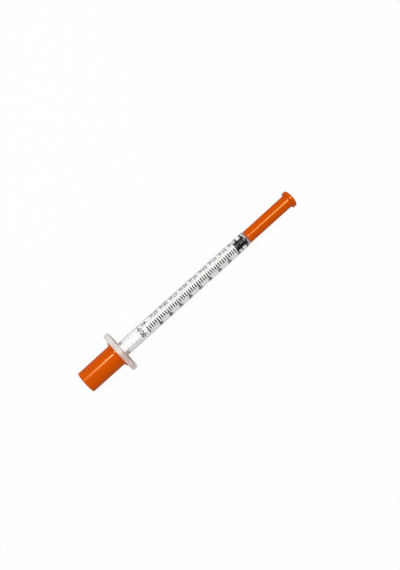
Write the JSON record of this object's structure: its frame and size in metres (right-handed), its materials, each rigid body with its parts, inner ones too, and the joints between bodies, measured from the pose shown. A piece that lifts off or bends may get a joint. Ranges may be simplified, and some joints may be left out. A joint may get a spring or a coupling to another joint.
{
  "type": "mesotherapy syringe",
  "caption": "Small disposable syringe with a fixed needle, a clear barrel with a printed scale, a winged flange, a tubular needle shield and a cap over the plunger.",
  "frame": {"origin": "centre of the finger flange's needle-side face, on the syringe's axis", "axes": "+X along the syringe towards the needle, +Y along the flange's long direction, +Z square to the flange's flat sides, with the printed scale uppermost"},
  "size_m": [0.1213, 0.0196, 0.0136],
  "materials": {
    "clear_plastic": "clear, polished",
    "black_ink": "printed",
    "needle_steel": "polished",
    "clear_glue": "clear, smooth",
    "black_rubber": "smooth, siliconed",
    "white_plastic": "milky, moulded",
    "orange_plastic": "glossy, moulded"
  },
  "bodies": {
    "syringe_body": {"barrel": "clear_plastic", "scale_marks": "black_ink", "needle": "needle_steel", "needle_glue": "clear_glue"},
    "stopper": {"stopper": "black_rubber"},
    "plunger_rod": {"plunger_rod": "white_plastic"},
    "plunger_cap": {"plunger_cap": "orange_plastic"},
    "needle_shield": {"needle_shield": "orange_plastic"}
  },
  "joints": [
    {"name": "stopper_slide", "type": "slide", "parent": "syringe_body", "child": "stopper", "axis": [-1, 0, 0], "range_m": [0, 0.0691]},
    {"name": "rod_swivel", "type": "hinge", "parent": "stopper", "child": "plunger_rod", "pos_m": [0.0666, 0, 0], "axis": [1, 0, 0], "continuous": true},
    {"name": "plunger_cap_pull", "type": "slide", "parent": "plunger_rod", "child": "plunger_cap", "axis": [-1, 0, 0], "range_m": [0, 0.025]},
    {"name": "needle_shield_pull", "type": "slide", "parent": "syringe_body", "child": "needle_shield", "axis": [1, 0, 0], "range_m": [0, 0.03]}
  ]
}
